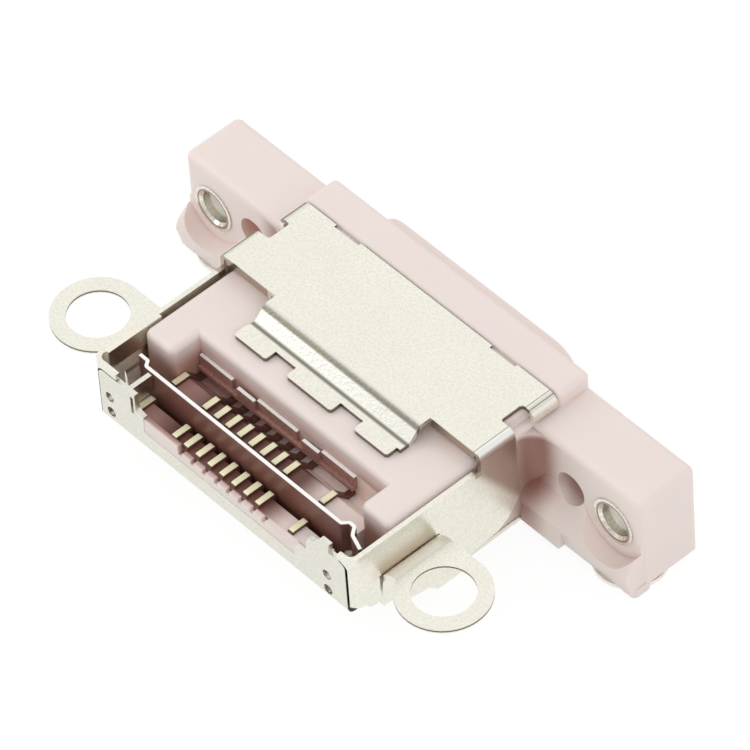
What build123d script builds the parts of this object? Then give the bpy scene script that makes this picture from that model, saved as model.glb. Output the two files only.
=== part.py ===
from build123d import *
import os

# Mid-mount USB-C socket for a thin device, lying on the round pads under its two wings.
# X runs across the mouth, +Y is the way the mouth looks, +Z is the side with the cover plate.
# The origin is the middle of the underside. Millimetres.

# Strip, walls and play
sheet = 0.18            # covers and mouth shell are made from this strip
seat_gap = 0.02         # play between pieces that are slid together
side_gap = 0.15         # between the moulding and the side walls of the cover
seam_gap = 0.05         # where the two covers meet at the tail corners

# Mouth, tongue and collar, to the usual receptacle sizes
mouth_width = 8.34
mouth_height = 2.56
mouth_reach = 6.20      # rim to the foot of the tongue
shell_recess = 0.10
tongue_width = 6.69
tongue_thick = 0.70
tongue_recess = 0.90    # rim to the tip of the tongue
latch_recess, latch_radius = 2.30, 0.45
collar_depth = 0.75
collar_side, collar_roof = 0.40, 0.29    # moulding beside and above the shell
collar_round = 1.15
collar_foot = 0.40      # underside of the collar above the table
collar_drop = 1.00      # top of the bulkhead above the collar

# Moulded housing
bulkhead_depth = 1.40
bulkhead_lip = 0.18     # bulkhead past the body on each side
bulkhead_round = 0.22
ledge_drop = 0.65       # top of the wings and of the U round the well, below the cover plate
well_width = 9.12
well_depth = 3.16       # crossbar of the U to the outside of the front wall
root_length = 2.04      # foot of the tongue to the crossbar
arm_width = 1.41
arm_reach = 1.20        # how far the U's arms stand out past its crossbar
arm_round = 0.25
deck_round = 0.26
wing_reach = 5.09       # each wing past the body
wing_depth = 2.43
wing_round = 0.28
wing_foot = 0.16        # underside of the wings above the table
wing_blend = 0.60       # hollow corner between wing and body
lip_step = 1.85         # the lip under the wing changes its depth here
foot_length, foot_depth = 0.74, 0.80

# Contacts
contact_pitch = 0.50
contact_width = 0.22
contact_thick = 0.15
tail_rise = 0.85        # mounting plane of the tails above the middle of the mouth
tail_round = 0.12
tail_lip = 0.30
blade_recess = 0.35     # tongue tip to the blades' ends
blade_steps = (-5.5, -4.5, -3.5, -1.5, -0.5, 0.5, 1.5, 3.5, 4.5, 5.5)
power_step = 2.5
power_rise = 0.40
outer_inset = 0.16      # outermost tails from the wall of the well
rear_inset, front_inset = 1.74, 1.53
rear_first, rear_pitch = -2.89, 0.562
front_first, front_pitch = -2.66, 0.58
rear_length, rear_offset = 0.75, 0.66
front_length, front_offset = 0.76, 0.24

# Shield plate between the two rows of tails
shield_thick = 0.12
shield_inset = 1.12     # middle of the shield behind the outside of the front wall
shield_rise = 1.00      # shield's sheared edge above the tails
hook_height = 1.30
hook_round = 0.075

# Top cover with its side walls and ring lugs
cover_bend = 0.30       # outer radius of the bend from plate to wall
tab_bend = 0.29         # the same on the rear tabs, at mid thickness
corner_bend = 0.40      # vertical bend at the tail corners
wall_drop = 0.67        # top of the walls beside the well, below the plate
plate_gap = 0.05        # plate to bulkhead
plate_setback = 2.50    # crossbar to the front of the plate
notch_width, notch_inset, notch_setback = 0.95, 0.70, 1.53
notch_round = 0.12
tab_drop = 0.50
edge_drop = 0.40
relief = 0.25
joggle_left_inset, joggle_right_inset = 2.75, 2.36
dent_width, dent_depth, dent_inset = 1.20, 0.12, 2.66
lap_depth = 0.46
left_return_inset, right_return_inset = 1.20, 0.65
bead_thick, bead_length = 0.12, 2.30
lug_reach = 2.12        # ring centre past the wall
lug_inset = 2.02        # ring centre behind the outside of the front wall
lug_rise = 0.08
lug_radius, lug_hole = 1.63, 1.08
lug_root = 2.40
lug_bend = 0.85         # bend from the wall out to the ring, at mid thickness
lug_drop = 0.35         # lower edge of the wall above the lanced lug, below the ring's top
lug_slit = 0.10

# Bottom cover with the wall in front of the tails
floor_z = 0.13          # lowest face of the bottom cover
step_drop = 0.60        # lowest face below the tails, under the middle of the mouth
front_drop = 0.95       # top of the front wall below the plate
front_round = 0.32
window_left_inset, window_right_inset = 0.72, 1.07
sill_drop = 0.55
bracket_width, bracket_height = 0.82, 0.75
dimple_radius = 0.20

# Wing hardware
bushing_inset = 1.34    # bushing from the wing's end
bushing_drop = 1.79     # bushing below the top of the wing
bushing_hole = 0.60
bushing_wall = 0.15
flange_radius = 0.89
flange_thick = 0.15
flange_sink = 0.10
recess_pitch = 2.02
recess_radius, recess_deep = 0.625, 1.30
recess_left_rise = 0.30
cradle_radius, cradle_deep = 1.40, 1.00
pad_radius = 1.29
pad_setback = 1.75

# Worked out from the sizes above
shell_width = mouth_width + 2 * sheet
shell_height = mouth_height + 2 * sheet
collar_width = shell_width + 2 * collar_side
collar_height = shell_height + 2 * collar_roof
mouth_z = collar_foot + collar_height / 2
height = collar_foot + collar_height + collar_drop
body_width = well_width + 2 * arm_width
bulkhead_width = body_width + 2 * bulkhead_lip
wall_width = body_width + 2 * side_gap + 2 * sheet
width = body_width + 2 * wing_reach
depth = mouth_reach + root_length + well_depth
rim_y, tail_y = depth / 2, -depth / 2
root_y = rim_y - mouth_reach
crossbar_y = root_y - root_length
body_bottom = floor_z + sheet
ledge_height = height - ledge_drop
deck_height = height - sheet
lap_top = ledge_height + sheet
wall_top = height - wall_drop
bulkhead_front = rim_y - collar_depth
bulkhead_back = bulkhead_front - bulkhead_depth
wing_back = bulkhead_front - wing_depth
plate_rear = bulkhead_back - plate_gap
plate_front = crossbar_y + plate_setback
notch_y = plate_rear - notch_setback
joggle_left = joggle_left_inset - wall_width / 2
joggle_right = wall_width / 2 - joggle_right_inset
lap_root = plate_front - 1.36
left_return = left_return_inset - wall_width / 2
right_return = wall_width / 2 - right_return_inset
tail_top = mouth_z + tail_rise
tail_z = tail_top - contact_thick / 2
upper_z = mouth_z + tongue_thick / 2 - contact_thick / 2
lower_z = mouth_z - tongue_thick / 2 + contact_thick / 2
carrier_top = mouth_z + 1.20
jog_start, jog_end = root_y - 0.45, crossbar_y + 0.24
blade_end = rim_y - tongue_recess - blade_recess
rear_row = (crossbar_y - rear_offset - rear_length, crossbar_y - rear_offset)
front_row = (tail_y + front_offset, tail_y + front_offset + front_length)
well_side = well_width / 2
rear_tails = [outer_inset - well_side] + [rear_first + rear_pitch * i for i in range(8)] + [well_side - rear_inset]
front_tails = [outer_inset - well_side] + [front_first + front_pitch * i for i in range(8)] + [well_side - front_inset]
shield_y, shield_top = tail_y + shield_inset, tail_top + shield_rise
step_foot, step_head = crossbar_y + 0.24, tail_y + 1.75
front_floor_z = mouth_z - step_drop
front_inner = front_floor_z + sheet
front_top = height - front_drop
front_side = wall_width / 2 - sheet - 2 * seam_gap
window_left, window_right = window_left_inset - well_side, well_side - window_right_inset
window_sill = tail_top - sill_drop
lug_x, lug_y = wall_width / 2 + lug_reach, tail_y + lug_inset
lug_top = tail_top + lug_rise
bushing_x, bushing_z = width / 2 - bushing_inset, ledge_height - bushing_drop
recess_x = bushing_x - recess_pitch
pad_x, pad_y = bushing_x - 0.03, bulkhead_front - pad_setback
sides = (("left", -1), ("right", 1))
pieces = []


def finish(piece, name):
    """Label a finished piece and write its STEP file."""
    piece.part.label = name
    export_step(piece.part, f"parts/{name}.step")
    pieces.append(piece.part)
    return piece.part


def contact(name, blade_x, tail_x, blade_z, tail_outline):
    """One contact: blade on the tongue, spread inside the root, then the formed tail."""
    half = contact_width / 2
    with BuildPart() as piece:
        with BuildSketch(Plane.XY.offset(blade_z)):
            with BuildLine():
                Polyline(
                    (blade_x - half, blade_end), (blade_x + half, blade_end),
                    (blade_x + half, jog_start), (tail_x + half, jog_end),
                    (tail_x + half, crossbar_y), (tail_x - half, crossbar_y),
                    (tail_x - half, jog_end), (blade_x - half, jog_start), close=True,
                )
            make_face()
        extrude(amount=contact_thick / 2, both=True)
        with BuildSketch(Plane.YZ.offset(tail_x)) as tail:
            with BuildLine():
                Polyline(*tail_outline, close=True)
            make_face()
            fillet(tail.vertices().group_by(Axis.Y)[-1], tail_round)
        extrude(amount=half, both=True)
    return finish(piece, name)


os.makedirs("parts", exist_ok=True)

# Contacts of the row next to the top cover: their tails end behind the shield plate
thick = contact_thick
ramp_foot, ramp_head = rear_row[1] + 0.34, rear_row[1] - 0.12
upper_contacts = [
    contact(
        f"contact_upper_{i + 1}", step * contact_pitch, tail_x, upper_z,
        [(jog_end, upper_z + thick / 2), (ramp_foot + 0.03, upper_z + thick / 2), (ramp_head + 0.03, tail_top),
         (rear_row[0], tail_top), (rear_row[0], tail_top - thick), (ramp_head - 0.03, tail_top - thick),
         (ramp_foot - 0.03, upper_z - thick / 2), (jog_end, upper_z - thick / 2)],
    )
    for i, (step, tail_x) in enumerate(zip(blade_steps, rear_tails))
]

# Contacts of the lower row: they pass under the shield and rise between it and the front wall
riser_front, riser_back = front_row[1] - thick, front_row[1]
lower_contacts = [
    contact(
        f"contact_lower_{i + 1}", step * contact_pitch, tail_x, lower_z,
        [(jog_end, lower_z + thick / 2), (riser_back, lower_z + thick / 2), (riser_back, tail_top),
         (front_row[0], tail_top), (front_row[0], tail_top - tail_lip), (front_row[0] + thick, tail_top - tail_lip),
         (front_row[0] + thick, tail_top - thick), (riser_front, tail_top - thick),
         (riser_front, lower_z - thick / 2), (jog_end, lower_z - thick / 2)],
    )
    for i, (step, tail_x) in enumerate(zip(blade_steps, front_tails))
]

# Power strip: two blades, a cross bar in the root and five upright segments on the well's wall
bar_z = upper_z + power_rise
step_y = jog_start + 0.20
segments = (
    (0.07 - well_side, -2.90, 0), (-2.52, -1.70, 1), (-1.66, 0.26, 0), (0.66, 1.43, 1), (1.47, well_side - 1.52, 0),
)
bar_left, bar_right = segments[0][0], segments[-1][1]
with BuildPart() as power_strip_upper:
    for side in (-1, 1):
        with BuildSketch(Plane.YZ.offset(side * power_step * contact_pitch)):
            with BuildLine():
                Polyline((blade_end, upper_z - thick / 2), (blade_end, upper_z + thick / 2),
                         (step_y + thick / 2, upper_z + thick / 2), (step_y + thick / 2, bar_z + thick / 2),
                         (jog_end, bar_z + thick / 2), (jog_end, bar_z - thick / 2),
                         (step_y - thick / 2, bar_z - thick / 2), (step_y - thick / 2, upper_z - thick / 2),
                         close=True)
            make_face()
        extrude(amount=contact_width / 2, both=True)
    for left, right, stepped in segments:
        back = crossbar_y - stepped * shield_thick
        with BuildSketch(Plane.XZ.offset(-back)):
            with Locations(((left + right) / 2, (bar_z - thick / 2 + carrier_top) / 2)):
                Rectangle(right - left, carrier_top - bar_z + thick / 2)
        extrude(amount=shield_thick)
    with BuildSketch(Plane.XY.offset(bar_z - thick / 2)):
        with Locations(((bar_left + bar_right) / 2, (jog_end + 0.40 + crossbar_y - 2 * shield_thick) / 2)):
            Rectangle(bar_right - bar_left, jog_end + 0.40 - crossbar_y + 2 * shield_thick)
    extrude(amount=thick)
power_upper = finish(power_strip_upper, "power_strip_upper")

low_bar_z = lower_z - power_rise
with BuildPart() as power_strip_lower:
    for side in (-1, 1):
        with BuildSketch(Plane.YZ.offset(side * power_step * contact_pitch)):
            with BuildLine():
                Polyline((blade_end, lower_z + thick / 2), (blade_end, lower_z - thick / 2),
                         (step_y + thick / 2, lower_z - thick / 2), (step_y + thick / 2, low_bar_z - thick / 2),
                         (jog_end, low_bar_z - thick / 2), (jog_end, low_bar_z + thick / 2),
                         (step_y - thick / 2, low_bar_z + thick / 2), (step_y - thick / 2, lower_z + thick / 2),
                         close=True)
            make_face()
        extrude(amount=contact_width / 2, both=True)
    with BuildSketch(Plane.XY.offset(low_bar_z - thick / 2)):
        with Locations((0, jog_end + 0.20)):
            Rectangle(2 * power_step * contact_pitch, 0.40)
    extrude(amount=thick)
power_lower = finish(power_strip_lower, "power_strip_lower")

# Shield: stiffens the tongue, latches the plug at its edges and stands up between the tail rows
tip_y = rim_y - tongue_recess
latch_y = tip_y - latch_recess
crest = well_side - 0.06
with BuildPart() as mid_shield:
    with BuildSketch(Plane.XY.offset(mouth_z - shield_thick / 2)):
        with Locations((0, (tip_y - 0.15 + root_y) / 2)):
            Rectangle(tongue_width, tip_y - 0.15 - root_y)
        with Locations((-tongue_width / 2, latch_y), (tongue_width / 2, latch_y)):
            Circle(latch_radius, mode=Mode.SUBTRACT)
        with Locations((0, (root_y + shield_y) / 2)):
            Rectangle(2 * crest - 0.38, root_y - shield_y)
    extrude(amount=shield_thick)
    with BuildSketch(Plane.XZ.offset(-shield_y + shield_thick / 2)):
        with Locations((0, (mouth_z - shield_thick / 2 + shield_top) / 2)):
            Rectangle(2 * crest, shield_top - mouth_z + shield_thick / 2)
    extrude(amount=-shield_thick)
    with BuildSketch(Plane.XY.offset(shield_top - hook_height)):
        with BuildLine() as hooks:
            FilletPolyline((-crest - 0.91, shield_y + 0.20), (-crest - 0.52, shield_y + 0.20),
                           (-crest - 0.38, shield_y), (crest + 0.12, shield_y), (crest + 0.28, shield_y + 0.20),
                           (crest + 0.52, shield_y + 0.20), (crest + 0.76, shield_y - 0.10),
                           (crest + 1.36, shield_y - 0.32), radius=hook_round)
        trace(hooks.line, line_width=shield_thick)
    extrude(amount=hook_height)
shield = finish(mid_shield, "mid_shield")

# Carrier: tongue, root block and the floor of the well, moulded round the metal
slope_y = step_foot - 0.42
comb_y = tail_y + sheet + 0.05
root_bottom = body_bottom + 0.45
with BuildPart() as tongue_carrier:
    with BuildSketch(Plane.YZ):
        with BuildLine():
            Polyline(
                (root_y, root_bottom), (slope_y, root_bottom), (step_head + 0.06, front_inner + 0.05),
                (comb_y - 0.01, front_inner + 0.05), (comb_y - 0.01, tail_top - thick),
                (riser_front - 0.02, tail_top - thick), (riser_front - 0.02, mouth_z - 0.05),
                (rear_row[0] + 0.02, mouth_z - 0.05), (rear_row[0] + 0.02, tail_top - thick),
                (ramp_head, tail_top - thick), (ramp_foot, upper_z - thick / 2), (crossbar_y, upper_z - thick / 2),
                (crossbar_y, carrier_top), (root_y, carrier_top), close=True,
            )
        make_face()
    extrude(amount=well_side - seat_gap, both=True)
    with BuildSketch(Plane.XY.offset(mouth_z - tongue_thick / 2)):
        with Locations((0, (root_y + tip_y) / 2)):
            Rectangle(tongue_width, tip_y - root_y)
    extrude(amount=tongue_thick)
    chamfer(tongue_carrier.edges().group_by(Axis.Y)[-1].filter_by(Axis.X), 0.18)
    # comb that fills the window of the front wall: two pads with a row of teeth between them
    with BuildSketch(Plane.XZ.offset(-comb_y)):
        with BuildLine():
            Polyline((window_left, window_sill), (window_right, window_sill), (window_right, tail_top - 0.10),
                     (2.10, tail_top - 0.10), (2.10, tail_top - 0.15), (-2.20, tail_top - 0.15),
                     (-2.20, tail_top + 0.05), (window_left, tail_top + 0.05), close=True)
        make_face()
        for tail_x in front_tails[2:9] + [front_tails[8] + front_pitch]:
            with Locations((tail_x, tail_top)):
                Rectangle(0.18, 0.60, mode=Mode.SUBTRACT)
    extrude(amount=comb_y - tail_y - 0.01)
    for metal in upper_contacts + lower_contacts + [power_upper, power_lower, shield]:
        add(metal, mode=Mode.SUBTRACT)
finish(tongue_carrier, "tongue_carrier")

# Mouth shell: drawn steel tube that lines the collar
shell_length = mouth_reach - shell_recess
with BuildPart() as mouth_shell:
    with BuildSketch(Plane.XZ.offset(-root_y)):
        with Locations((0, mouth_z)):
            SlotOverall(shell_width, shell_height)
            SlotOverall(mouth_width, mouth_height, mode=Mode.SUBTRACT)
    extrude(amount=-shell_length)
finish(mouth_shell, "mouth_shell")

# One wing of the housing: block, lip with the cradle round the bushing, and the foot at its corner
body_side = body_width / 2
lip_root = wing_back + 0.30
with BuildPart() as wing:
    with BuildSketch(Plane.XY.offset(wing_foot)):
        with Locations(((body_side - 0.40 + width / 2) / 2, wing_back + wing_depth / 2)):
            Rectangle(width / 2 - body_side + 0.40, wing_depth)
    extrude(amount=ledge_height - wing_foot)
    outer_edges = wing.faces().sort_by(Axis.X)[-1].edges()
    top_edges = wing.edges().filter_by(Axis.X).group_by(Axis.Z)[-1]
    fillet(outer_edges + top_edges, wing_round)
    for inner, outer, toe in ((body_side, body_side + lip_step, 0.77), (body_side + lip_step, width / 2 - 0.08, 0.50)):
        with BuildSketch(Plane.YZ.offset(inner)):
            with BuildLine():
                Polyline((lip_root, bushing_z - 0.26), (wing_back, bushing_z - 0.26), (wing_back - 0.10, 1.83))
                Spline((wing_back - 0.10, 1.83), (wing_back - 0.48, 1.53), (wing_back - 0.69, 1.20),
                       (wing_back - 0.66, 0.86))
                Polyline((wing_back - 0.66, 0.86), (wing_back - toe, wing_foot), (lip_root, wing_foot),
                         (lip_root, bushing_z - 0.26))
            make_face()
        extrude(amount=outer - inner)
    with BuildSketch(Plane.XY):
        with Locations((width / 2 - 0.04 - foot_length / 2, wing_back - 0.42 + foot_depth / 2)):
            RectangleRounded(foot_length, foot_depth, 0.20)
        with Locations((pad_x, pad_y)):
            Circle(pad_radius + seat_gap, mode=Mode.SUBTRACT)
    extrude(amount=wing_foot + 0.20)
    with BuildSketch(Plane.XZ.offset(-wing_back)):
        with Locations((bushing_x, bushing_z)):
            Circle(cradle_radius)
    extrude(amount=cradle_deep, mode=Mode.SUBTRACT)
    with BuildSketch(Plane.XZ.offset(-wing_back)):
        with Locations((bushing_x, bushing_z)):
            Circle(bushing_hole + bushing_wall)
    extrude(amount=-wing_depth, mode=Mode.SUBTRACT)
    with BuildSketch(Plane.XZ.offset(-wing_back)):
        with Locations((bushing_x, bushing_z)):
            Circle(flange_radius)
    extrude(amount=-flange_sink, mode=Mode.SUBTRACT)

# Housing: bulkhead, collar, body, the U round the well and both wings in one moulding
with BuildPart() as body_block:
    with BuildSketch(Plane.XY.offset(body_bottom)):
        with BuildLine():
            Polyline(
                (-body_side, bulkhead_back + 0.10), (body_side, bulkhead_back + 0.10),
                (body_side, crossbar_y - arm_reach), (well_side, crossbar_y - arm_reach),
                (well_side, crossbar_y), (-well_side, crossbar_y),
                (-well_side, crossbar_y - arm_reach), (-body_side, crossbar_y - arm_reach), close=True,
            )
        make_face()
    extrude(amount=ledge_height - body_bottom)
    fillet(body_block.edges().filter_by(Axis.Z).group_by(Axis.Y)[0], arm_round)
    rim_edges = body_block.faces().sort_by(Axis.Z)[-1].edges()
    fillet(rim_edges - rim_edges.sort_by(Axis.Y)[-1:], deck_round)

with BuildPart() as housing:
    with BuildSketch(Plane.XY.offset(body_bottom)):
        with Locations((0, bulkhead_back + bulkhead_depth / 2)):
            Rectangle(bulkhead_width, bulkhead_depth)
    extrude(amount=height - body_bottom)
    fillet(housing.edges().filter_by(Axis.Z) + housing.faces().sort_by(Axis.Z)[-1].edges(), bulkhead_round)
    with BuildSketch(Plane.XZ.offset(-bulkhead_front + bulkhead_round)):
        with Locations((0, mouth_z)):
            RectangleRounded(collar_width, collar_height, collar_round)
    extrude(amount=-collar_depth - bulkhead_round)
    add(body_block.part)
    deck_front = plate_front + sheet + seat_gap
    with BuildSketch(Plane.XY.offset(ledge_height - 0.10)):
        with Locations((0, (bulkhead_back + 0.10 + deck_front) / 2)):
            Rectangle(body_width - 2 * deck_round, bulkhead_back + 0.10 - deck_front)
    extrude(amount=deck_height - ledge_height + 0.10)
    add(wing.part)
    add(mirror(wing.part, about=Plane.YZ, mode=Mode.PRIVATE))
    for name, side in sides:
        corner_x, corner_y = side * body_side, wing_back
        with BuildSketch(Plane.XY.offset(body_bottom)):
            with BuildLine():
                Line((corner_x, corner_y - wing_blend), (corner_x, corner_y))
                Line((corner_x, corner_y), (corner_x + side * wing_blend, corner_y))
                ThreePointArc((corner_x + side * wing_blend, corner_y),
                              (corner_x + side * 0.293 * wing_blend, corner_y - 0.293 * wing_blend),
                              (corner_x, corner_y - wing_blend))
            make_face()
        extrude(amount=ledge_height - deck_round - body_bottom)
        with BuildSketch(Plane.XZ.offset(-wing_back + 1.0)):
            with Locations((side * recess_x, bushing_z - 0.04 + (side < 0) * recess_left_rise)):
                Circle(recess_radius)
        extrude(amount=-recess_deep - 1.0, mode=Mode.SUBTRACT)
    # bore for the mouth shell, and the pocket that the carrier slides into from the tail side
    with BuildSketch(Plane.XZ.offset(-root_y)):
        with Locations((0, mouth_z)):
            SlotOverall(shell_width, shell_height)
    extrude(amount=-mouth_reach, mode=Mode.SUBTRACT)
    with BuildSketch(Plane.XZ.offset(-root_y)):
        with Locations((0, (root_bottom - seat_gap + carrier_top + seat_gap) / 2)):
            Rectangle(well_width, carrier_top - root_bottom + 2 * seat_gap)
    extrude(amount=root_y - step_head + 1.0, mode=Mode.SUBTRACT)
    # seat for the bottom cover between the wings
    with BuildSketch(Plane.XY):
        with Locations((0, (bulkhead_back + tail_y) / 2)):
            Rectangle(2 * (front_side + seat_gap), bulkhead_back - tail_y)
    extrude(amount=body_bottom, mode=Mode.SUBTRACT)
    # the underside follows the bottom cover's step up towards the tails
    with BuildSketch(Plane.YZ):
        with BuildLine():
            Polyline((step_foot + 0.08, body_bottom - 0.1), (step_foot + 0.08, body_bottom + 0.03),
                     (step_head + 0.08, front_inner + 0.03), (step_head - 1.0, front_inner + 0.03),
                     (step_head - 1.0, body_bottom - 0.1), close=True)
        make_face()
    extrude(amount=body_width, both=True, mode=Mode.SUBTRACT)
finish(housing, "housing")

# Top cover: plate, side walls, tail corners and ring lugs, one stamping
notch_front, notch_rear = notch_y - notch_width / 2, notch_y + notch_width / 2
plate_mid = height - sheet / 2
lug_edge = lug_top - lug_drop
with BuildPart() as top_cover:
    with BuildSketch(Plane.XY):
        with Locations((0, (notch_rear + tail_y) / 2)):
            Rectangle(wall_width, notch_rear - tail_y)
    extrude(amount=height)
    fillet(top_cover.edges().filter_by(Axis.Z).group_by(Axis.Y)[0], corner_bend)
    fillet(top_cover.faces().sort_by(Axis.Z)[-1].edges().filter_by(Axis.Y), cover_bend)
    offset(amount=-sheet, openings=[top_cover.faces().sort_by(Axis.Z)[0], top_cover.faces().sort_by(Axis.Y)[-1]])
    # side view of the blank: front of the wall, its stepped lower edge and the low top beside the well
    with BuildSketch(Plane.YZ):
        with BuildLine():
            Polyline(
                (notch_rear, height), (notch_rear, height - sheet), (notch_front, height - sheet),
                (notch_front, ledge_height - 0.77), (notch_front + 0.10, lug_edge - 0.63),
                (notch_front, lug_edge - 1.03), (notch_front - 0.52, mouth_z - 1.07), (notch_front - 0.95, floor_z + 0.67),
                (tail_y + 5.06, floor_z + 0.55), (tail_y + 4.55, floor_z), (tail_y + 3.55, floor_z),
                (tail_y + 3.15, floor_z + 0.39), (tail_y + 2.35, floor_z + 0.51), (tail_y + 1.57, front_floor_z - 0.03),
                (tail_y + 1.10, front_floor_z - 0.03), (tail_y + 0.70, front_floor_z + 0.05),
                (tail_y + 0.50, front_floor_z + 0.30), (tail_y, front_floor_z + 0.40), (tail_y, wall_top),
                (plate_front, wall_top), (plate_front, height), close=True,
            )
        make_face()
    extrude(amount=wall_width, both=True, mode=Mode.INTERSECT)
    # rear tabs, bent down over the wings' roots
    with BuildSketch(Plane.XZ.offset(-notch_y)):
        with BuildLine() as path:
            tab_x = bulkhead_width / 2 - sheet / 2
            FilletPolyline((-tab_x, height - tab_drop), (-tab_x, plate_mid), (tab_x, plate_mid),
                           (tab_x, height - tab_drop), radius=tab_bend)
        trace(path.line, line_width=sheet)
    extrude(amount=notch_y - plate_rear)
    # notches between plate and tabs, two shallow dents in the rear edge
    with BuildSketch(Plane.XY.offset(height - 1.0)):
        with Locations((-wall_width / 2, notch_y), (wall_width / 2, notch_y)):
            RectangleRounded(2 * notch_inset, notch_width, notch_round)
    extrude(amount=1.5, mode=Mode.SUBTRACT)
    with BuildSketch(Plane.XY.offset(height - 1.0)):
        with Locations((dent_inset - bulkhead_width / 2 - 0.40, plate_rear), (bulkhead_width / 2 - dent_inset + 0.15, plate_rear)):
            Rectangle(dent_width, 2 * dent_depth)
    extrude(amount=1.5, mode=Mode.SUBTRACT)
    # opening that takes the front wall, and the gap between the two strips above it
    with BuildSketch(Plane.XZ.offset(-tail_y + 0.1)):
        with Locations((0, (front_top + seam_gap) / 2)):
            RectangleRounded(2 * (front_side + seam_gap), front_top + seam_gap, front_round)
        with Locations(((left_return + right_return) / 2, height / 2)):
            Rectangle(right_return - left_return, height)
        with Locations((0, mouth_z / 2)):
            Rectangle(2 * (front_side + seam_gap), mouth_z)
    extrude(amount=-0.1 - sheet - 0.12, mode=Mode.SUBTRACT)
    # short turned-down edges either side of the joggle
    for left, right in ((cover_bend - wall_width / 2, joggle_left - relief), (joggle_right, wall_width / 2 - cover_bend)):
        with BuildSketch(Plane.XZ.offset(-plate_front)):
            with Locations(((left + right) / 2, height - (edge_drop + 0.04) / 2)):
                Rectangle(right - left, edge_drop - 0.04)
        extrude(amount=-sheet)
    # joggle down to the ledge and the three lap tabs that lie on the moulding
    with BuildSketch(Plane.YZ.offset(joggle_left)):
        with BuildLine() as path:
            FilletPolyline((plate_front + 0.20, plate_mid), (plate_front - 0.41, plate_mid),
                           (plate_front - 0.91, lap_top - sheet / 2), (lap_root, lap_top - sheet / 2), radius=0.15)
        trace(path.line, line_width=sheet)
    extrude(amount=joggle_right - joggle_left)
    lap_tabs = ((joggle_left - 0.05, joggle_left + 1.50), (-1.05, 1.10), (joggle_right - 1.74, joggle_right - 0.14))
    with BuildSketch(Plane.XY.offset(lap_top - sheet)):
        for left, right in lap_tabs:
            with Locations(((left + right) / 2, lap_root + (0.15 - lap_depth) / 2)):
                RectangleRounded(right - left, lap_depth + 0.15, 0.12)
    extrude(amount=sheet)
    # the left wall is set in a little beside the end of the U
    with BuildSketch(Plane.XY.offset(wall_top - 0.80)):
        with Locations((sheet + bead_thick / 2 - wall_width / 2, tail_y + 0.50 + bead_length / 2)):
            Rectangle(bead_thick, bead_length)
    extrude(amount=0.80)
    # ring lugs: each tab is lanced out of its wall and rolled over to stand out flat
    root_mid = lug_y + lug_radius - lug_root / 2
    lug_foot = lug_top - 2 * lug_bend
    wall_mid = wall_width / 2 - sheet / 2
    for name, side in sides:
        with BuildSketch(Plane.YZ.offset(side * (wall_width / 2 - 0.50))):
            with Locations((root_mid, (lug_edge + lug_foot) / 2)):
                Rectangle(lug_root + 2 * lug_slit, lug_edge - lug_foot)
        extrude(amount=side * 1.0, mode=Mode.SUBTRACT)
        with BuildSketch(Plane.XZ.offset(-(root_mid + lug_root / 2))):
            with BuildLine() as roll:
                FilletPolyline((side * wall_mid, lug_foot - 0.20), (side * wall_mid, lug_top - sheet / 2),
                               (side * (lug_x - lug_hole - 0.05), lug_top - sheet / 2), radius=lug_bend)
            trace(roll.line, line_width=sheet)
        extrude(amount=lug_root)
        with BuildSketch(Plane.XY.offset(lug_top - sheet)):
            with Locations((side * lug_x, lug_y)):
                Circle(lug_radius)
            with Locations((side * (wall_mid + lug_bend + lug_x) / 2, root_mid)):
                Rectangle(lug_x - wall_mid - lug_bend, lug_root)
            with Locations((side * (wall_mid + lug_bend - 0.50), lug_y)):
                Rectangle(1.0, 2 * lug_radius, mode=Mode.SUBTRACT)
            with Locations((side * lug_x, lug_y)):
                Circle(lug_hole, mode=Mode.SUBTRACT)
        extrude(amount=sheet)
        with BuildSketch(Plane.XY.offset(lug_top - sheet)):
            with Locations((side * lug_x, lug_y)):
                Circle(lug_hole)
        extrude(amount=sheet, mode=Mode.SUBTRACT)
finish(top_cover, "top_cover")

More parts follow.
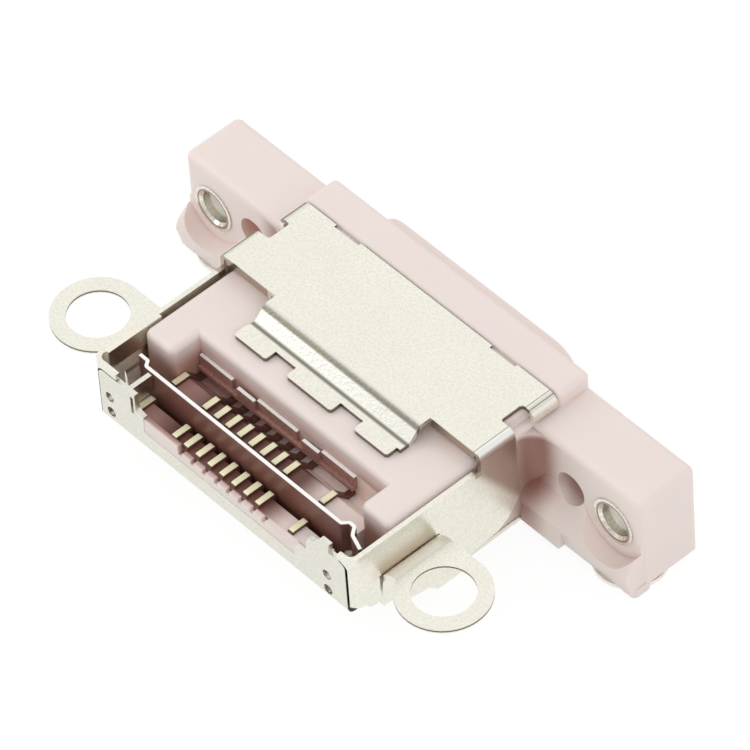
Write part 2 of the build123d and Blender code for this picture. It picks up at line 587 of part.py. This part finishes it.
# Bottom cover: floor, step up and the wall in front of the tails
tab_top = front_top + 0.38
with BuildPart() as bottom_cover:
    with BuildSketch(Plane.YZ):
        with BuildLine() as path:
            FilletPolyline(
                (bulkhead_back - 0.05, floor_z + sheet / 2), (step_foot, floor_z + sheet / 2),
                (step_head, front_floor_z + sheet / 2), (tail_y + sheet / 2, front_floor_z + sheet / 2),
                (tail_y + sheet / 2, front_top), radius=0.20,
            )
        trace(path.line, line_width=sheet)
    extrude(amount=front_side, both=True)
    fillet(bottom_cover.edges().filter_by(Axis.Y).group_by(Axis.Z)[-1], front_round)
    # window for the comb and the low edges beside it
    with BuildSketch(Plane.XZ.offset(-tail_y + 0.1)):
        with BuildLine():
            Polyline(
                (window_left - 0.36, front_top + 0.1), (window_left - 0.36, tail_top + 0.25),
                (window_left, tail_top + 0.15), (window_left, window_sill), (window_right, window_sill),
                (window_right, tail_top - 0.10), (window_right + 0.59, tail_top - 0.10),
                (window_right + 0.62, tail_top + 0.50), (window_right + 0.75, tail_top + 0.84),
                (window_right + 1.05, tail_top + 0.90), (window_right + 1.13, front_top + 0.1), close=True,
            )
        make_face()
    extrude(amount=-0.1 - sheet - 0.1, mode=Mode.SUBTRACT)
    # tab on the right of the window, bracket turned in on its left, slit and dimples
    with BuildSketch(Plane.XZ.offset(-tail_y)):
        with BuildLine():
            Polyline((window_right + 1.13, front_top - 0.20), (window_right + 1.20, front_top + 0.15),
                     (window_right + 1.36, tab_top), (window_right + 1.78, tab_top),
                     (window_right + 1.71, front_top - 0.20), close=True)
        make_face()
    extrude(amount=-sheet)
    with BuildSketch(Plane.XY.offset(front_top - bracket_height)):
        with Locations((window_left - 0.72, tail_y + sheet / 2 + bracket_width / 2)):
            Rectangle(sheet, bracket_width + sheet)
    extrude(amount=bracket_height)
    with BuildSketch(Plane.XZ.offset(-tail_y + 0.1)):
        with Locations((window_left - 0.52, front_top - 0.58)):
            Rectangle(0.14, 0.76)
        with Locations((0.49 - front_side, tail_top - 0.17), (0.51 - front_side, tail_top - 0.87),
                       (front_side - 0.96, tail_top - 0.27), (front_side - 0.95, tail_top - 0.98)):
            Circle(dimple_radius)
    extrude(amount=-0.1 - sheet, mode=Mode.SUBTRACT)
finish(bottom_cover, "bottom_cover")

# Flanged bushings in the wings and the round pads under them
for name, side in sides:
    with BuildPart() as bushing:
        with BuildSketch(Plane.XZ.offset(-wing_back)):
            with Locations((side * bushing_x, bushing_z)):
                Circle(bushing_hole + bushing_wall)
        extrude(amount=-wing_depth)
        with BuildSketch(Plane.XZ.offset(-(wing_back + flange_sink))):
            with Locations((side * bushing_x, bushing_z)):
                Circle(flange_radius)
        extrude(amount=flange_thick)
        with BuildSketch(Plane.XZ.offset(-(wing_back + wing_depth))):
            with Locations((side * bushing_x, bushing_z)):
                Circle(bushing_hole)
        extrude(amount=wing_depth + flange_thick, mode=Mode.SUBTRACT)
        chamfer(bushing.faces().sort_by(Axis.Y)[0].inner_wires().edges(), 0.10)
    finish(bushing, f"bushing_{name}")

    with BuildPart() as pad:
        with BuildSketch(Plane.XY):
            with Locations((side * pad_x, pad_y)):
                Circle(pad_radius)
        extrude(amount=wing_foot)
    finish(pad, f"wing_pad_{name}")
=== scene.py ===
from math import radians

import bmesh
import bpy
from mathutils import Matrix, Vector

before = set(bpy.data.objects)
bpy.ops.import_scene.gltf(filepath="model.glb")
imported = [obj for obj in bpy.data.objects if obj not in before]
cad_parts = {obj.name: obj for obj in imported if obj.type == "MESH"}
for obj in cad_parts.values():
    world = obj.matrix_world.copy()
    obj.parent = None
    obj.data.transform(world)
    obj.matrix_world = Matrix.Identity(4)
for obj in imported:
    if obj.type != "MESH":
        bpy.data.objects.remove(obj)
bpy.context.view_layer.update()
mm = 0.001


# The housing is one moulding of pale pink liquid-crystal polymer: bulkhead, collar, wings and the U round
# the well. Painted shade stands in for the light that the polymer lets in: reddish in its corners, brown on the walls
# of the well and in the valleys beside the wings.
crossbar_back = -2.54                       # rear wall of the well
u_top = 4.25                                # top of the U
well_floor = 3.00                           # mounting plane of the tails
valley_x, valley_y = 6.15, 2.32             # upright line in the corner between side wall and wing
valley_start, valley_end = 0.10, 1.30       # how far the valley's shade reaches from that line
# Painted shade: brown in the valleys beside the wings and on the walls of the well, reddish in corners, each with a
# colour for the left and one for the right.
valley_shade = (0.34, 0.165, 0.13)
well_shade_left, well_shade_right = (0.57, 0.31, 0.25), (0.60, 0.33, 0.27)
corner_shade_left, corner_shade_right = (0.86, 0.52, 0.42), (0.56, 0.32, 0.26)
housing_pale, housing_flow = (0.885, 0.785, 0.745), (0.86, 0.745, 0.70)


def share_between(tree, value, near, far):
    """Smooth step: 0 at near, 1 at far, in the value's own unit."""
    step = tree.nodes.new("ShaderNodeMapRange")
    step.interpolation_type = "SMOOTHSTEP"
    step.inputs["From Min"].default_value = near
    step.inputs["From Max"].default_value = far
    tree.links.new(value, step.inputs["Value"])
    return step.outputs["Result"]


def beyond(tree, place, near, far):
    """0 at near, 1 at far, for a place on the part in millimetres."""
    return share_between(tree, place, near * mm, far * mm)


def combine(tree, operation, first, second):
    """One arithmetic step between two values, each a number or a socket."""
    node = tree.nodes.new("ShaderNodeMath")
    node.operation = operation
    for socket, value in zip(node.inputs, (first, second)):
        if isinstance(value, (int, float)):
            socket.default_value = value
        else:
            tree.links.new(value, socket)
    return node.outputs["Value"]


def band(tree, place, low, high, soft):
    """1 between low and high, in millimetres, with soft ends."""
    rise = beyond(tree, place, low - soft, low + soft)
    fall = beyond(tree, place, high + soft, high - soft)
    return combine(tree, "MULTIPLY", rise, fall)


def blend_colours(tree, share, first, second):
    """First colour where the share is 0, second where it is 1."""
    node = tree.nodes.new("ShaderNodeMix")
    node.data_type = "RGBA"
    tree.links.new(share, node.inputs["Factor"])
    for socket, colour in (("A", first), ("B", second)):
        if isinstance(colour, tuple):
            node.inputs[socket].default_value = (*colour, 1.0)
        else:
            tree.links.new(colour, node.inputs[socket])
    return node.outputs["Result"]


def cloudiness(tree, place, scale, detail):
    clouds = tree.nodes.new("ShaderNodeTexNoise")
    clouds.inputs["Scale"].default_value = scale
    clouds.inputs["Detail"].default_value = detail
    tree.links.new(place, clouds.inputs["Vector"])
    return clouds.outputs["Fac"]


def relief(tree, shader, height, strength, depth):
    bump = tree.nodes.new("ShaderNodeBump")
    bump.inputs["Strength"].default_value = strength
    bump.inputs["Distance"].default_value = depth * mm
    tree.links.new(height, bump.inputs["Height"])
    tree.links.new(bump.outputs["Normal"], shader.inputs["Normal"])


def new_material(name):
    material = bpy.data.materials.new(name)
    material.use_nodes = True
    tree = material.node_tree
    place = tree.nodes.new("ShaderNodeTexCoord").outputs["Object"]
    axes = tree.nodes.new("ShaderNodeSeparateXYZ")
    tree.links.new(place, axes.inputs["Vector"])
    return material, tree, tree.nodes["Principled BSDF"], place, axes


def moulded_polymer(name, pale, flow, corner, brown, darken):
    """Pale skin with faint flow marks and painted reddish shade in corners; darken lays the painted shade of the
    walls over it.

    Corner and brown are each a painted shade colour for the left side and one for the right side.
    """
    flow_scale, wall_scale, grain_scale = 420.0, 900.0, 9000.0
    wall_clouds, wall_drift = 0.25, 0.9         # shares of clouds and of the change from left to right
    material, tree, shader, place, axes = new_material(name)
    shader.inputs["Roughness"].default_value = 0.40
    shader.inputs["IOR"].default_value = 1.52
    shader.inputs["Subsurface Weight"].default_value = 0.30
    shader.inputs["Subsurface Radius"].default_value = (1.0, 0.55, 0.42)
    shader.inputs["Subsurface Scale"].default_value = 0.35 * mm
    skin = blend_colours(tree, cloudiness(tree, place, flow_scale, 3.0), flow, pale)
    # Painted shade: where ambient occlusion finds a corner, the skin turns to the corner colour.
    shade = tree.nodes.new("ShaderNodeAmbientOcclusion")
    shade.samples = 12
    shade.inputs["Distance"].default_value = 1.3 * mm
    shade.only_local = True
    open_air = share_between(tree, shade.outputs["AO"], 0.10, 0.60)
    rightwards = beyond(tree, axes.outputs["X"], -5.0, 5.0)
    skin = blend_colours(tree, open_air, blend_colours(tree, rightwards, *corner), skin)
    clouds = combine(tree, "MULTIPLY", cloudiness(tree, place, wall_scale, 2.0), wall_clouds)
    drift = combine(tree, "MULTIPLY", rightwards, wall_drift)
    wall = blend_colours(tree, combine(tree, "ADD", clouds, drift), *brown)
    tree.links.new(darken(tree, axes, wall, skin), shader.inputs["Base Color"])
    relief(tree, shader, cloudiness(tree, place, grain_scale, 2.0), 0.10, 0.01)
    return material


def distance_from(tree, first, second, centre):
    """Distance of a point to a line, from its two coordinates across that line."""
    legs = []
    for value, middle in zip((first, second), centre):
        leg = combine(tree, "SUBTRACT", value, middle * mm)
        legs.append(combine(tree, "MULTIPLY", leg, leg))
    return combine(tree, "SQRT", combine(tree, "ADD", *legs), 0.0)


def well_and_valley_shade(tree, axes, wall, skin):
    """Painted shade: brown on the walls of the well, darker brown in the valleys beside the wings, skin everywhere
    else.
    """
    height = beyond(tree, axes.outputs["Z"], well_floor + 0.05, u_top - 0.15)
    behind_well = beyond(tree, axes.outputs["Y"], crossbar_back + 0.02, crossbar_back + 0.04)
    skin = blend_colours(tree, combine(tree, "MAXIMUM", height, behind_well), wall, skin)
    across = combine(tree, "ABSOLUTE", axes.outputs["X"], 0.0)
    from_corner = distance_from(tree, across, axes.outputs["Y"], (valley_x, valley_y))
    reach = beyond(tree, from_corner, valley_start, valley_end)
    above = beyond(tree, axes.outputs["Z"], u_top - 0.55, u_top - 0.15)
    return blend_colours(tree, combine(tree, "MAXIMUM", reach, above), valley_shade, skin)


def dress(node, material):
    """Give a piece of the CAD its material."""
    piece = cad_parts[node]
    piece.data.materials.clear()
    piece.data.materials.append(material)


housing_polymer = moulded_polymer(
    "housing polymer", housing_pale, housing_flow, (corner_shade_left, corner_shade_right),
    (well_shade_left, well_shade_right), well_and_valley_shade,
)
dress("housing", housing_polymer)


# The carrier is moulded round the contacts and the shield from the same polymer: tongue, root block, floor
# of the well and the comb that fills the window of the front wall. The comb's front face stays pale; the floor of the
# well and the corners carry painted shade.
comb_front = -5.69
front_tail_row, rear_tail_row = (-5.50, -4.60), (-4.05, -3.15)
tail_rows_left, tail_rows_right = -3.4, 2.1
# Painted shade: dark between the tails, brown on the floor of the well, lighter at its right where more light falls,
# reddish in corners.
between_tails_shade = (0.17, 0.065, 0.045)
carrier_pale, carrier_flow, carrier_corner_shade = (0.84, 0.74, 0.69), (0.80, 0.69, 0.63), (0.68, 0.45, 0.37)
floor_shade_left, floor_shade_right = (0.34, 0.14, 0.11), (1.0, 0.84, 0.78)


def floor_shade_of_well(tree, axes, wall, skin):
    """Painted brown shade on the floor, darkest between the tails; the comb's front face and the tongue keep the
    skin.
    """
    along = axes.outputs["Y"]
    rows = combine(tree, "MAXIMUM", band(tree, along, *front_tail_row, 0.05), band(tree, along, *rear_tail_row, 0.05))
    length_of_rows = band(tree, axes.outputs["X"], tail_rows_left, tail_rows_right, 0.55)
    wall = blend_colours(tree, combine(tree, "MULTIPLY", rows, length_of_rows), wall, between_tails_shade)
    front = beyond(tree, along, comb_front + 0.12, comb_front + 0.01)
    tongue = beyond(tree, along, crossbar_back, crossbar_back + 1.0)
    return blend_colours(tree, combine(tree, "MAXIMUM", front, tongue), wall, skin)


carrier_polymer = moulded_polymer(
    "carrier polymer", carrier_pale, carrier_flow, (carrier_corner_shade, carrier_corner_shade),
    (floor_shade_left, floor_shade_right), floor_shade_of_well,
)
dress("tongue_carrier", carrier_polymer)


# The bottom cover is stamped from nickel-plated strip and barrel finished, so that its flat faces carry a
# fine even grain of tiny dents. Painted shade darkens a band along the seam where it meets the top cover at the tail
# corners.
bottom_bright, bottom_dull = (0.80, 0.785, 0.70), (0.725, 0.70, 0.615)
cover_roughness, cover_grain = 0.28, 0.30
# Painted shade along the seam at the tail corners.
seam_side, seam_reach = (5.98, 6.00), (-5.20, -5.40)
seam_shade = (0.05, 0.04, 0.03)


def plated_strip(name, bright, dull, roughness, grain):
    """Bright plating with duller dents; returns what a section needs to add its own marks."""
    dent_scale, wear_scale = 11000.0, 700.0
    material, tree, shader, place, axes = new_material(name)
    shader.inputs["Metallic"].default_value = 1.0
    dents = cloudiness(tree, place, dent_scale, 2.0)
    plating = blend_colours(tree, share_between(tree, dents, 0.30, 0.70), dull, bright)
    tree.links.new(plating, shader.inputs["Base Color"])
    wear = tree.nodes.new("ShaderNodeMapRange")
    wear.inputs["To Min"].default_value = roughness - 0.06
    wear.inputs["To Max"].default_value = roughness + 0.08
    tree.links.new(cloudiness(tree, place, wear_scale, 2.0), wear.inputs["Value"])
    tree.links.new(wear.outputs["Result"], shader.inputs["Roughness"])
    relief(tree, shader, dents, grain, 0.02)
    return material, tree, shader, axes, plating


def marks(tree, plating, colour, *masks):
    """The plating in another colour where all masks are 1."""
    share = masks[0]
    for mask in masks[1:]:
        share = combine(tree, "MULTIPLY", share, mask)
    return blend_colours(tree, share, plating, colour)


bottom_nickel, tree, shader, axes, plating = plated_strip(
    "bottom nickel", bottom_bright, bottom_dull, cover_roughness, cover_grain,
)
across = combine(tree, "ABSOLUTE", axes.outputs["X"], 0.0)
plating = marks(
    tree, plating, seam_shade,
    beyond(tree, across, *seam_side), beyond(tree, axes.outputs["Y"], *seam_reach),
)
tree.links.new(plating, shader.inputs["Base Color"])
dress("bottom_cover", bottom_nickel)


# The top cover, with its ring lugs, is stamped from the same plated strip. Light and shade are painted on it: a
# highlight where its edges are bent down and on the bends of its lugs, dark lines at the start of each bend, shade
# and reflection on its joggle, shade on its cut edges and lug rings, a darker painted reflection of the wings beside
# them, shade on the wall above the lugs and light in its inner left corner.
top_bright, top_dull = (0.885, 0.868, 0.775), (0.80, 0.775, 0.68)
wide_bend, narrow_bend = 6.00, 5.78         # where the plate starts to bend down at its sides
narrow_from = 2.44                          # the plate is narrow behind this line, wide before the notch
notch_front = 1.51
# Painted highlight on the bends, and painted dark lines where each bend starts.
bend_highlight, bend_start_shade = (0.97, 0.96, 0.91), (0.20, 0.19, 0.16)
# Painted reflection of the wings, darker, on the outer walls beside them, and painted shade on the wall above each
# lug.
wing_shade, wing_slope, wing_height = (0.47, 0.36, 0.31), 0.7, 3.5
lug_shade, lug_bend_highlight = (0.80, 0.72, 0.62), (1.0, 0.99, 0.95)
wall_outer, lug_start = 6.30, 6.34          # outer face of the wall, and where the lugs leave it
joggle_end = 3.95
# Painted shade and reflection on the joggle: its slope, its head and its foot.
joggle_slope_reflection, joggle_head_shade, joggle_foot_shade = (0.80, 0.79, 0.72), (0.27, 0.25, 0.20), (0.25, 0.23, 0.19)
# Painted shade on the front edge faces, on the cut edges and on the edge of each lug ring.
front_edge_shade, cut_edge_shade = (0.44, 0.37, 0.30), (0.24, 0.19, 0.16)
ring_edge_shade = (0.16, 0.135, 0.10)
# Painted light in the inner left corner.
inner_corner_light = (0.95, 0.86, 0.72)

top_nickel, tree, shader, axes, plating = plated_strip(
    "top nickel", top_bright, top_dull, cover_roughness, cover_grain,
)
rightwards, along, up = axes.outputs["X"], axes.outputs["Y"], axes.outputs["Z"]
leftwards = combine(tree, "MULTIPLY", rightwards, -1.0)
across = combine(tree, "ABSOLUTE", rightwards, 0.0)

plating = marks(
    tree, plating, bend_highlight,
    beyond(tree, rightwards, wide_bend + 0.02, wide_bend + 0.06), beyond(tree, up, 4.66, 4.76),
)

outer_face = beyond(tree, across, wall_outer - 0.10, wall_outer - 0.02)
lean = combine(tree, "MULTIPLY", combine(tree, "SUBTRACT", up, wing_height * mm), wing_slope)
beside_wing = beyond(tree, combine(tree, "ADD", along, lean), 0.0, 0.5)
plating = marks(tree, plating, wing_shade, beside_wing, outer_face)

above_lug = band(tree, along, -4.85, -2.35, 0.15)
plating = marks(
    tree, plating, lug_shade, above_lug, beyond(tree, up, 3.55, 2.90), outer_face,
    beyond(tree, up, 2.62, 2.72), beyond(tree, across, lug_start, lug_start - 0.02),
)

flat = beyond(tree, up, 4.83, 4.86)
upper_bend = beyond(tree, up, 4.60, 4.66)
wide = beyond(tree, along, notch_front + 0.01, notch_front - 0.01)
narrow = beyond(tree, along, narrow_from - 0.01, narrow_from + 0.01)
# Painted shade: a dark line at the start of each bend.
for bend_start_line in (
    (band(tree, rightwards, wide_bend - 0.015, wide_bend + 0.01, 0.006), wide, flat),
    (band(tree, rightwards, narrow_bend - 0.015, narrow_bend + 0.01, 0.006), narrow, flat),
    (band(tree, leftwards, wide_bend + 0.13, wide_bend + 0.30, 0.02), wide, upper_bend),
    (band(tree, leftwards, narrow_bend + 0.17, narrow_bend + 0.32, 0.02), narrow, upper_bend),
):
    plating = marks(tree, plating, bend_start_shade, *bend_start_line)

joggle = beyond(tree, across, joggle_end + 0.01, joggle_end - 0.01)
for colour, rear_to_front in (
    (joggle_slope_reflection, (-1.02, -0.40, 0.03)), (joggle_head_shade, (-0.65, -0.50, 0.035)), (joggle_foot_shade, (-1.17, -1.03, 0.05)),
):
    plating = marks(tree, plating, colour, band(tree, along, *rear_to_front), joggle)

front_edge = marks(
    tree, plating, front_edge_shade, band(tree, along, -0.30, -0.02, 0.01), band(tree, up, 4.0, 4.86, 0.02),
)
plating = marks(tree, front_edge, plating, joggle)
plating = marks(
    tree, plating, cut_edge_shade, band(tree, up, 4.20, 4.405, 0.01), beyond(tree, along, -0.99, -1.03), joggle,
)
plating = marks(
    tree, plating, cut_edge_shade, band(tree, up, 4.70, 4.865, 0.01),
    beyond(tree, across, wide_bend - 0.03, wide_bend - 0.06), beyond(tree, along, -0.02, 0.0),
)
plating = marks(tree, plating, ring_edge_shade, band(tree, up, 2.95, 3.02, 0.015), beyond(tree, across, 7.0, 7.2))
# Painted highlight on the bend of each lug.
plating = marks(
    tree, plating, lug_bend_highlight, above_lug,
    beyond(tree, across, lug_start, lug_start + 0.02), beyond(tree, across, 7.1, 6.9),
)

# Painted light: the inner left corner is lighter and less metallic, so that it catches more light.
inner_corner = combine(
    tree, "MULTIPLY", band(tree, leftwards, 6.06, 6.18, 0.02), band(tree, along, -5.35, -3.80, 0.25),
)
plating = marks(tree, plating, inner_corner_light, inner_corner)
tree.links.new(plating, shader.inputs["Base Color"])
shine = combine(tree, "ADD", combine(tree, "MULTIPLY", inner_corner, -0.8), 1.0)
tree.links.new(shine, shader.inputs["Metallic"])
dress("top_cover", top_nickel)


# The mouth shell is a drawn tube of stainless steel. It lines the collar, where the plug goes in, and is
# pressed into the housing from the back.
shell_bright, shell_dull = (0.80, 0.79, 0.76), (0.70, 0.69, 0.66)
shell_steel = plated_strip("shell steel", shell_bright, shell_dull, 0.28, 0.12)[0]
dress("mouth_shell", shell_steel)


# The shield and the power strips are stamped stainless sheet. They stand in the well with a bright sheared
# edge up, bright steel with a painted highlight, and their faces carry the painted brown shade and reflection of the
# well.
# Painted highlight on the bright edge, painted shade and reflection on the faces.
bright_edge_and_highlight = (1.0, 0.99, 0.96)
shield_face_shade, shield_top, shield_gloss = (0.19, 0.075, 0.055), 4.00, 0.6
strip_face_shade, strip_top, strip_gloss = (0.46, 0.24, 0.195), 3.35, 0.0


def sheared_sheet(name, face, edge_height, gloss):
    """Faces painted with the shade and reflection of the well, and a bright edge with a painted highlight at the
    given height; the gloss is how metallic that edge looks.
    """
    darker = tuple(0.72 * level for level in face)
    material, tree, shader, axes, plating = plated_strip(name, face, darker, 0.40, 0.12)
    edge = beyond(tree, axes.outputs["Z"], edge_height - 0.05, edge_height - 0.01)
    tree.links.new(blend_colours(tree, edge, plating, bright_edge_and_highlight), shader.inputs["Base Color"])
    if gloss:
        tree.links.new(combine(tree, "MULTIPLY", edge, gloss), shader.inputs["Metallic"])
    else:
        shader.inputs["Metallic"].default_value = 0.0
    return material


dress("mid_shield", sheared_sheet("shield steel", shield_face_shade, shield_top, shield_gloss))
strip_steel = sheared_sheet("strip steel", strip_face_shade, strip_top, strip_gloss)
for node in ("power_strip_upper", "power_strip_lower"):
    dress(node, strip_steel)


# Twenty contacts are stamped from copper alloy. Gold is plated on the blades and on the flat tails, and the
# alloy stays bare and brown where the contacts leave the polymer. The sides of the tails are painted that dark brown
# as shade.
gold_bright, gold_dull, bare_alloy_and_side_shade = (1.0, 0.98, 0.70), (1.0, 0.95, 0.62), (0.13, 0.05, 0.035)
gold_gloss = 0.15
ramp_foot, ramp_start = -3.12, -3.18        # the rear tails are flat in front of their ramps
blade_bare, blade_plated = -0.60, -0.40
contact_gold, tree, shader, axes, plating = plated_strip("contact gold", gold_bright, gold_dull, 0.34, 0.10)
# Painted shade: below their tops the sides of the tails take the dark brown of the bare alloy.
tail_tops = combine(
    tree, "MULTIPLY", beyond(tree, axes.outputs["Z"], well_floor - 0.03, well_floor - 0.01),
    beyond(tree, axes.outputs["Y"], ramp_foot, ramp_start),
)
plated_and_lit_tops = combine(tree, "MAXIMUM", tail_tops, beyond(tree, axes.outputs["Y"], blade_bare, blade_plated))
tree.links.new(blend_colours(tree, plated_and_lit_tops, bare_alloy_and_side_shade, plating), shader.inputs["Base Color"])
tree.links.new(combine(tree, "MULTIPLY", plated_and_lit_tops, gold_gloss), shader.inputs["Metallic"])
for row in ("upper", "lower"):
    for number in range(1, 11):
        dress(f"contact_{row}_{number}", contact_gold)


# The wings hold turned and plated bushings, pressed in from the side of the tails: a flange with a
# lathe-turned face and a groove drawn as a painted dark ring of shade, and a polished bore for the screw, painted
# bright as light.
bushing_bright, bushing_dull = (0.90, 0.87, 0.79), (0.72, 0.66, 0.56)
# Painted shade in the groove, painted light in the bore.
groove_shade, bore_painted_light = (0.30, 0.24, 0.18), (1.0, 0.985, 0.95)
bushing_x, bushing_z, bushing_back = 9.72, 2.46, 2.52
groove_inside, groove_outside = (0.69, 0.72), (0.80, 0.76)
flange_roughness, bore_roughness = 0.22, 0.10
bushing_nickel, tree, shader, axes, plating = plated_strip(
    "bushing nickel", bushing_bright, bushing_dull, flange_roughness, 0.08,
)
across = combine(tree, "ABSOLUTE", axes.outputs["X"], 0.0)
radius = distance_from(tree, across, axes.outputs["Z"], (bushing_x, bushing_z))
groove = combine(
    tree, "MULTIPLY", beyond(tree, radius, *groove_inside), beyond(tree, radius, *groove_outside),
)
turned = blend_colours(tree, groove, plating, groove_shade)
bore = beyond(tree, axes.outputs["Y"], bushing_back + 0.30, bushing_back + 0.36)
tree.links.new(blend_colours(tree, bore, turned, bore_painted_light), shader.inputs["Base Color"])
polish = tree.nodes.new("ShaderNodeMapRange")
polish.inputs["To Min"].default_value = flange_roughness
polish.inputs["To Max"].default_value = bore_roughness
tree.links.new(bore, polish.inputs["Value"])
tree.links.new(polish.outputs["Result"], shader.inputs["Roughness"])
bore_shine = combine(tree, "ADD", combine(tree, "MULTIPLY", bore, -0.3), 1.0)
tree.links.new(bore_shine, shader.inputs["Metallic"])
for side in ("left", "right"):
    dress(f"bushing_{side}", bushing_nickel)


# A round pad of plated sheet sits under each wing, matt from the press. The socket lies on the two pads
# where it is screwed down.
pad_bright, pad_dull = (0.90, 0.87, 0.82), (0.80, 0.76, 0.70)
pad_nickel = plated_strip("pad nickel", pad_bright, pad_dull, 0.42, 0.12)[0]
for side in ("left", "right"):
    dress(f"wing_pad_{side}", pad_nickel)


# The socket lies on a pale studio table. Seen directly or in the metal the table is the white of the
# backdrop, darkened a little by the socket's shadow. From below it is clear, and shows the underside.
table_reach, table_drop = 400, 0.02
table_paint_level, shadow_level, backdrop_level = 0.85, 0.16, 0.88


def grey(level):
    return level, level, level, 1.0


def seen_share(tree):
    """1 for rays that show the backdrop, directly, in metal or through glass."""
    path = tree.nodes.new("ShaderNodeLightPath")
    direct = combine(tree, "MAXIMUM", path.outputs["Is Camera Ray"], path.outputs["Is Glossy Ray"])
    return combine(tree, "MAXIMUM", direct, path.outputs["Is Transmission Ray"])


def mix_shaders(tree, share, first, second):
    node = tree.nodes.new("ShaderNodeMixShader")
    for socket, output in zip(node.inputs, (share, first, second)):
        tree.links.new(output, socket)
    return node.outputs["Shader"]


table_form = bmesh.new()
bmesh.ops.create_grid(
    table_form, x_segments=1, y_segments=1, size=table_reach * mm,
    matrix=Matrix.Translation((0, 0, -table_drop * mm)),
)
table_mesh = bpy.data.meshes.new("table")
table_form.to_mesh(table_mesh)
table_form.free()
table = bpy.data.objects.new("table", table_mesh)
bpy.context.scene.collection.objects.link(table)
table_paint = bpy.data.materials.new("table paint")
table_paint.use_nodes = True
tree = table_paint.node_tree
paint = tree.nodes["Principled BSDF"]
paint.inputs["Base Color"].default_value = grey(table_paint_level)
paint.inputs["Roughness"].default_value = 0.9
shadow_catcher = tree.nodes.new("ShaderNodeBsdfDiffuse")
shadow_catcher.inputs["Color"].default_value = grey(shadow_level)
backdrop = tree.nodes.new("ShaderNodeEmission")
backdrop.inputs["Strength"].default_value = backdrop_level
shaded_backdrop = tree.nodes.new("ShaderNodeAddShader")
tree.links.new(shadow_catcher.outputs["BSDF"], shaded_backdrop.inputs[0])
tree.links.new(backdrop.outputs["Emission"], shaded_backdrop.inputs[1])
from_above = mix_shaders(tree, seen_share(tree), paint.outputs["BSDF"], shaded_backdrop.outputs["Shader"])
underneath = tree.nodes.new("ShaderNodeNewGeometry").outputs["Backfacing"]
clear = tree.nodes.new("ShaderNodeBsdfTransparent").outputs["BSDF"]
surface = mix_shaders(tree, underneath, from_above, clear)
tree.links.new(surface, tree.nodes["Material Output"].inputs["Surface"])
table_mesh.materials.append(table_paint)


# The room is white studio walls, a little brighter towards the direction that the plate mirrors.
# Three softboxes stand round the socket: a weak one above, one at the right and one at the left.
mirrored_direction = (0.28, 0.58, 0.76)
dim_wall, bright_wall = 0.70, 0.84
dim_from, bright_from = -0.45, 0.50

room = bpy.data.worlds.new("studio room")
bpy.context.scene.world = room
room.use_nodes = True
tree = room.node_tree
tree.nodes["Background"].inputs["Color"].default_value = grey(1.0)
towards = tree.nodes.new("ShaderNodeVectorMath")
towards.operation = "DOT_PRODUCT"
towards.inputs[1].default_value = mirrored_direction
tree.links.new(tree.nodes.new("ShaderNodeTexCoord").outputs["Generated"], towards.inputs[0])
wall_level = tree.nodes.new("ShaderNodeMapRange")
wall_level.interpolation_type = "SMOOTHSTEP"
wall_level.inputs["From Min"].default_value = dim_from
wall_level.inputs["From Max"].default_value = bright_from
wall_level.inputs["To Min"].default_value = dim_wall
wall_level.inputs["To Max"].default_value = bright_wall
tree.links.new(towards.outputs["Value"], wall_level.inputs["Value"])
path = tree.nodes.new("ShaderNodeLightPath")
shown = combine(tree, "MAXIMUM", wall_level.outputs["Result"], path.outputs["Is Camera Ray"])
tree.links.new(shown, tree.nodes["Background"].inputs["Strength"])


def softbox(name, place, size, power):
    """A square lamp, size across in millimetres, that faces the socket."""
    lamp = bpy.data.lights.new(name, "AREA")
    lamp.size = size * mm
    lamp.energy = power
    holder = bpy.data.objects.new(name, lamp)
    holder.location = Vector(place) * mm
    holder.rotation_euler = (-holder.location).to_track_quat("-Z", "Y").to_euler()
    bpy.context.scene.collection.objects.link(holder)


softbox("top lamp", (-60, 50, 110), 90, 0.006)
softbox("right lamp", (110, -50, 70), 80, 0.018)
softbox("left lamp", (-110, -70, 70), 80, 0.040)


# The camera looks down over the right lug at the photograph's angle, from far off with a long lens.
# The angles, the distance and the lens come from a fit to the part's straight edges in the photograph.
turn, tilt, roll = radians(51.035), radians(48.073), radians(-4.412)
camera_distance = 267.36 * mm
aim = Vector((0.183, 0.852, 3.277)) * mm
sensor_width, image_width, focal_pixels = 36, 750, 8207.8
camera = bpy.data.objects.new("camera", bpy.data.cameras.new("camera"))
bpy.context.scene.collection.objects.link(camera)
camera.data.sensor_width = sensor_width
camera.data.lens = sensor_width * focal_pixels / image_width
camera.data.clip_start, camera.data.clip_end = 0.01, 10
swing = Matrix.Rotation(turn, 4, "Z") @ Matrix.Rotation(radians(90) - tilt, 4, "X") @ Matrix.Rotation(roll, 4, "Z")
camera.matrix_world = Matrix.Translation(aim) @ swing @ Matrix.Translation((0, 0, camera_distance))
bpy.context.scene.camera = camera
bpy.context.scene.view_settings.view_transform = "Standard"
